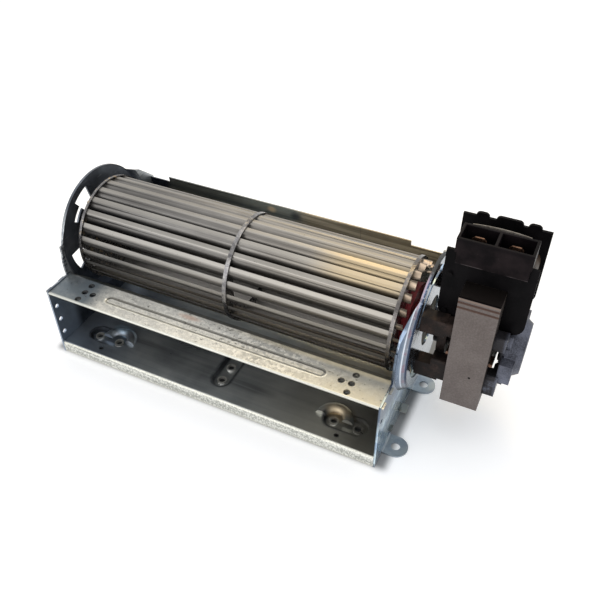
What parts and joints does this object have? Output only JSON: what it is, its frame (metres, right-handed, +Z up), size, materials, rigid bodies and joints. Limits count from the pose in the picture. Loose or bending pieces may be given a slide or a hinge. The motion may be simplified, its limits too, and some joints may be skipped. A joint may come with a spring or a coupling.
{
  "type": "refrigerator blower fan",
  "caption": "Crossflow blower: a bladed drum in a pressed-sheet scroll housing with a low wide outlet and mounting ears; a shaded-pole motor on its end spins the drum.",
  "frame": {"origin": "centre of the four mounting-ear holes, on the underside of the ears, where the fan stands", "axes": "+X along the impeller's axis towards the motor, +Y to the back of the scroll (air leaves towards -Y), +Z up"},
  "size_m": [0.2541, 0.1037, 0.116],
  "materials": {
    "scroll_sheet": "smoky reflective sheet",
    "tongue_sheet": "zinc-coated sheet, satin",
    "side_sheet": "zinc-coated sheet, bluish, satin",
    "blade_strip": "satin strip",
    "disc_sheet": "satin sheet",
    "black_rubber": "matte",
    "red_rubber": "satin",
    "sintered_bronze": "dull",
    "plain_steel": "bright",
    "rotor_body": "turned",
    "washer_plastic": "matte",
    "lamination": "dull oiled edges",
    "copper": "dull copper",
    "black_plastic": "moulded",
    "winding_tape": "taped",
    "card": "matte",
    "housing_plastic": "moulded, dusty",
    "bracket_casting": "die-cast"
  },
  "bodies": {
    "housing": {"scroll_plate": "scroll_sheet", "tongue_plate": "tongue_sheet", "left_side_plate": "side_sheet", "right_side_plate": "side_sheet", "rubber_grommet": "black_rubber", "left_bush": "sintered_bronze", "stator_core": "lamination", "core_bar": "lamination", "shading_rings": "copper", "coil_bobbin": "black_plastic", "coil_winding": "winding_tape", "insulation_card": "card", "terminal_housing": "housing_plastic", "terminal_left": "copper", "terminal_right": "copper", "inner_bracket": "bracket_casting", "outer_bracket": "bracket_casting", "inner_bearing": "sintered_bronze", "outer_bearing": "sintered_bronze", "inner_retainer": "plain_steel", "outer_retainer": "plain_steel", "bracket_screws": "plain_steel", "mounting_screws": "plain_steel"},
    "impeller": {"left_disc": "disc_sheet", "middle_disc": "disc_sheet", "right_disc": "disc_sheet", "stub_shaft": "plain_steel", "rubber_hub": "red_rubber", "motor_shaft": "plain_steel", "rotor": "rotor_body", "shaft_washers": "washer_plastic", "blade_1": "blade_strip", "blade_2": "blade_strip", "blade_3": "blade_strip", "blade_4": "blade_strip", "blade_5": "blade_strip", "blade_6": "blade_strip", "blade_7": "blade_strip", "blade_8": "blade_strip", "blade_9": "blade_strip", "blade_10": "blade_strip", "blade_11": "blade_strip", "blade_12": "blade_strip", "blade_13": "blade_strip", "blade_14": "blade_strip", "blade_15": "blade_strip", "blade_16": "blade_strip", "blade_17": "blade_strip", "blade_18": "blade_strip", "blade_19": "blade_strip", "blade_20": "blade_strip", "blade_21": "blade_strip", "blade_22": "blade_strip", "blade_23": "blade_strip", "blade_24": "blade_strip", "blade_25": "blade_strip", "blade_26": "blade_strip", "blade_27": "blade_strip"}
  },
  "joints": [
    {"name": "impeller_spin", "type": "hinge", "parent": "housing", "child": "impeller", "pos_m": [0, 0.0164, 0.054], "axis": [1, 0, 0], "continuous": true}
  ]
}
